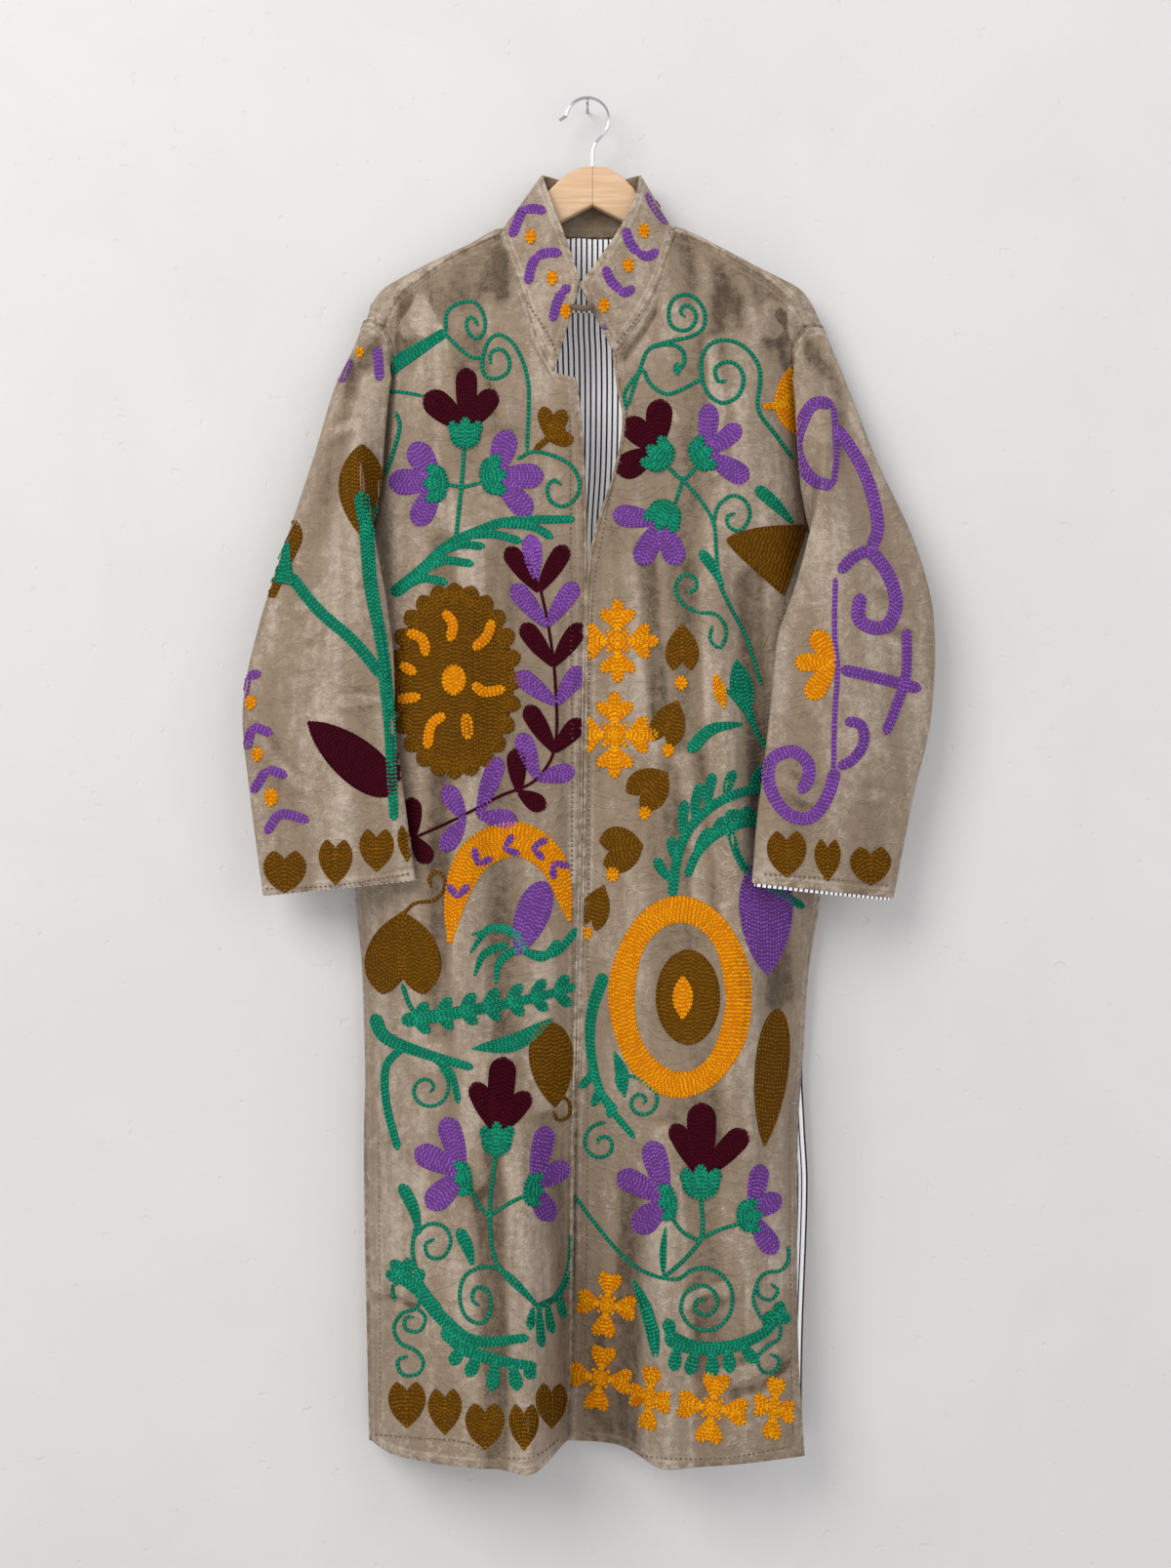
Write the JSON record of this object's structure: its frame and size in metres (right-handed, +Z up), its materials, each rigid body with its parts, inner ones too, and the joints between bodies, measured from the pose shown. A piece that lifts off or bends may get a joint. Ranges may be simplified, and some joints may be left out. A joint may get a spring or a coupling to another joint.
{
  "type": "suzani coat on a wooden hanger",
  "caption": "Long straight coat of embroidered velvet with a stand collar and wide sleeves, hung open-necked on a bent wooden hanger with a wire hook.",
  "frame": {"origin": "inside top of the hanger's hook, where a nail or a rail bears", "axes": "+Z up along the hook's stem, +Y towards the wall behind the coat, +X to the wearer's left"},
  "size_m": [0.6719, 0.1165, 1.3122],
  "materials": {
    "velvet": "crushed taupe velvet",
    "lining": "striped cotton",
    "wood": "pale varnished beech",
    "steel": "bright wire",
    "thread_green": "chain stitch silk",
    "thread_purple": "chain stitch silk",
    "thread_burgundy": "chain stitch silk",
    "thread_orange": "chain stitch silk",
    "thread_olive": "chain stitch silk"
  },
  "bodies": {
    "root": {"front_right": "velvet", "front_left": "velvet", "back": "velvet", "sleeve_right": "velvet", "sleeve_left": "velvet", "collar": "velvet", "collar_loop": "velvet", "lining_back": "lining", "cuff_lining_right": "lining", "cuff_lining_left": "lining", "hanger_body": "wood", "hanger_hook": "steel"}
  },
  "joints": []
}
